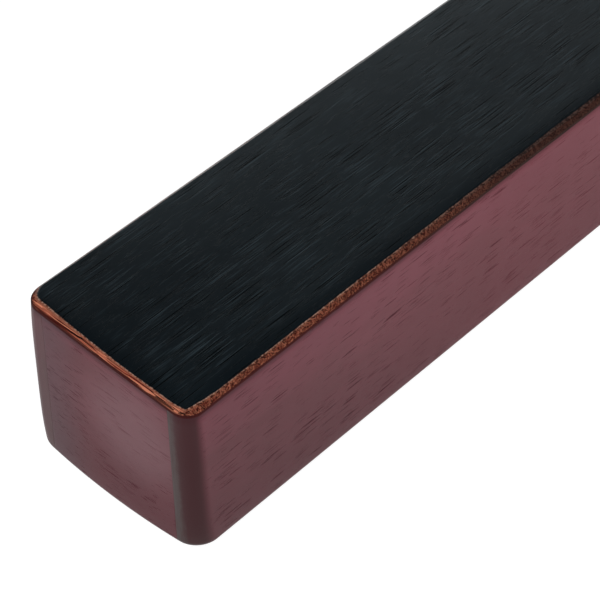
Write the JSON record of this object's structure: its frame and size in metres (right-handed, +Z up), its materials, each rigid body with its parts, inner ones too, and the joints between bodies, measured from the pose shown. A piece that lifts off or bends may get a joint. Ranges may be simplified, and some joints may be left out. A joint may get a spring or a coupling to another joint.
{
  "type": "cajon shaker",
  "caption": "Slim closed wooden box shaker with a black-stained plywood playing plate, bevelled bare-brown edges, burgundy walls and loose steel balls sealed inside.",
  "frame": {"origin": "centre of the underside, on the surface that the box stands on", "axes": "+X along the length from the near end to the far end, +Y across the width from the near side wall to the far one, +Z up out of the playing plate"},
  "size_m": [0.2, 0.05, 0.046],
  "materials": {
    "burgundy_stain": "burgundy stain, satin, fine dark pores along the grain",
    "back_veneer": "bare dark red veneer edge with glue line",
    "core_ply": "bare sanded plywood edge, grain across the width",
    "black_stain": "near black stain, satin, open grain dashes along the length",
    "steel_ball": "polished steel, lightly scuffed"
  },
  "bodies": {
    "box": {"side_wall_near": "burgundy_stain", "side_wall_far": "burgundy_stain", "end_wall_near": "burgundy_stain", "end_wall_far": "burgundy_stain", "bottom_panel": "burgundy_stain", "plate_back_veneer": "back_veneer", "plate_core": "core_ply", "plate_face_veneer": "black_stain"},
    "running_balls": {"ball_running_01": "steel_ball", "ball_running_02": "steel_ball", "ball_running_03": "steel_ball", "ball_running_04": "steel_ball", "ball_running_05": "steel_ball", "ball_running_06": "steel_ball", "ball_running_07": "steel_ball", "ball_running_08": "steel_ball", "ball_running_09": "steel_ball", "ball_running_10": "steel_ball", "ball_running_11": "steel_ball", "ball_running_12": "steel_ball", "ball_running_13": "steel_ball", "ball_running_14": "steel_ball", "ball_running_15": "steel_ball", "ball_running_16": "steel_ball"},
    "drifting_balls": {"ball_drifting_01": "steel_ball", "ball_drifting_02": "steel_ball", "ball_drifting_03": "steel_ball", "ball_drifting_04": "steel_ball", "ball_drifting_05": "steel_ball", "ball_drifting_06": "steel_ball", "ball_drifting_07": "steel_ball", "ball_drifting_08": "steel_ball", "ball_drifting_09": "steel_ball", "ball_drifting_10": "steel_ball", "ball_drifting_11": "steel_ball", "ball_drifting_12": "steel_ball", "ball_drifting_13": "steel_ball", "ball_drifting_14": "steel_ball", "ball_drifting_15": "steel_ball", "ball_drifting_16": "steel_ball"},
    "hopping_balls": {"ball_hopping_01": "steel_ball", "ball_hopping_02": "steel_ball", "ball_hopping_03": "steel_ball", "ball_hopping_04": "steel_ball", "ball_hopping_05": "steel_ball", "ball_hopping_06": "steel_ball", "ball_hopping_07": "steel_ball", "ball_hopping_08": "steel_ball", "ball_hopping_09": "steel_ball", "ball_hopping_10": "steel_ball", "ball_hopping_11": "steel_ball", "ball_hopping_12": "steel_ball", "ball_hopping_13": "steel_ball", "ball_hopping_14": "steel_ball", "ball_hopping_15": "steel_ball", "ball_hopping_16": "steel_ball"}
  },
  "joints": [
    {"name": "balls_run", "type": "slide", "parent": "box", "child": "running_balls", "axis": [1, 0, 0], "range_m": [-0.062, 0.062]},
    {"name": "balls_drift", "type": "slide", "parent": "running_balls", "child": "drifting_balls", "axis": [0, 1, 0], "range_m": [-0.0082, 0.0082]},
    {"name": "balls_hop", "type": "slide", "parent": "drifting_balls", "child": "hopping_balls", "axis": [0, 0, 1], "range_m": [0, 0.0333]}
  ]
}
